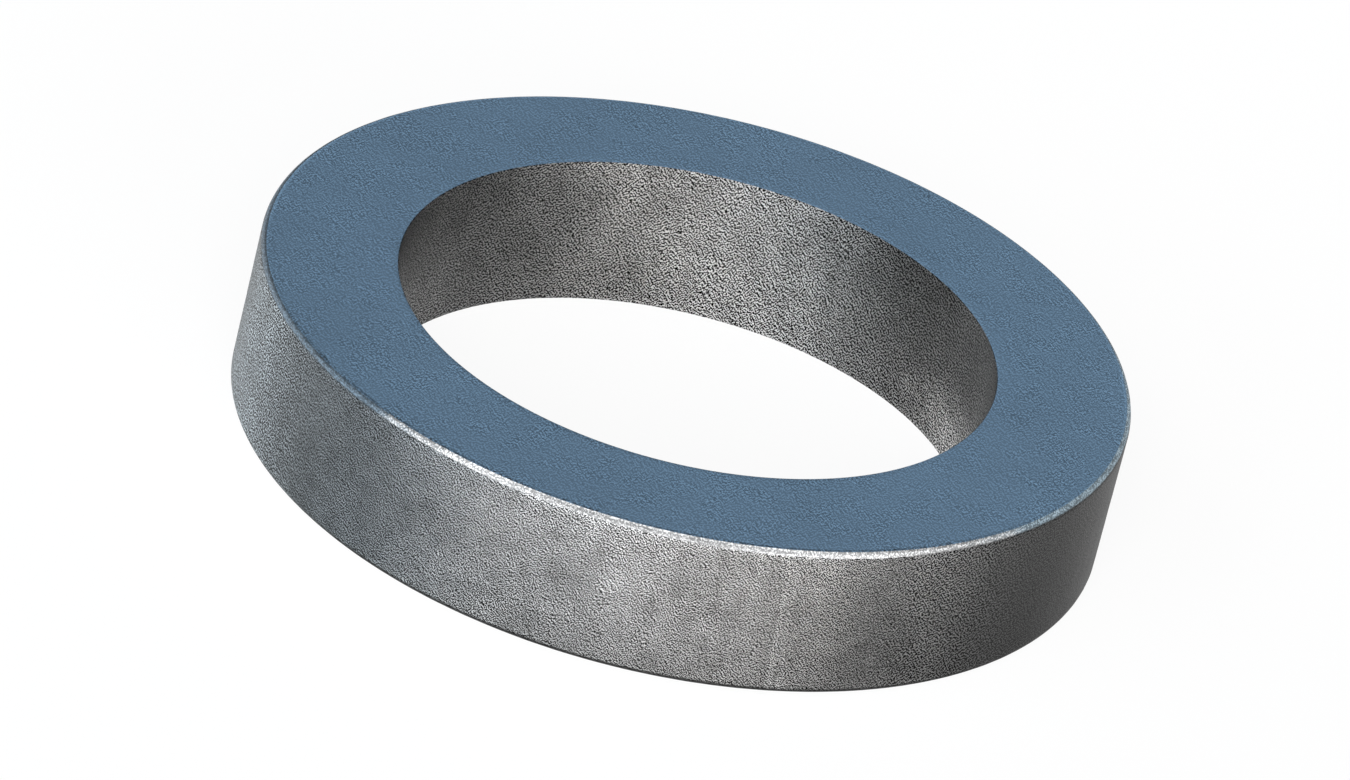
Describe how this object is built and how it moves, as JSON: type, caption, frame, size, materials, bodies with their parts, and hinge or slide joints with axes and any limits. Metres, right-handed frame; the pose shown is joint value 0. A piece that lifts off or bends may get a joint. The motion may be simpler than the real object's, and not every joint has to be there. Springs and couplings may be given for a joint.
{
  "type": "ring gear blank",
  "caption": "Plain steel ring of rectangular section with a large through bore, flat faces and rounded outer edges: the blank of a ring gear.",
  "frame": {"origin": "on the ring's axis, at the face that it rests on", "axes": "+Z along the axis, from the rest face towards the painted face; X and Y lie in the rest face"},
  "size_m": [0.22, 0.22, 0.04],
  "materials": {
    "ring_steel": "fine-grained bare steel walls and underside, satin blue paint on the top face"
  },
  "bodies": {
    "root": {"ring_blank": "ring_steel"}
  },
  "joints": []
}
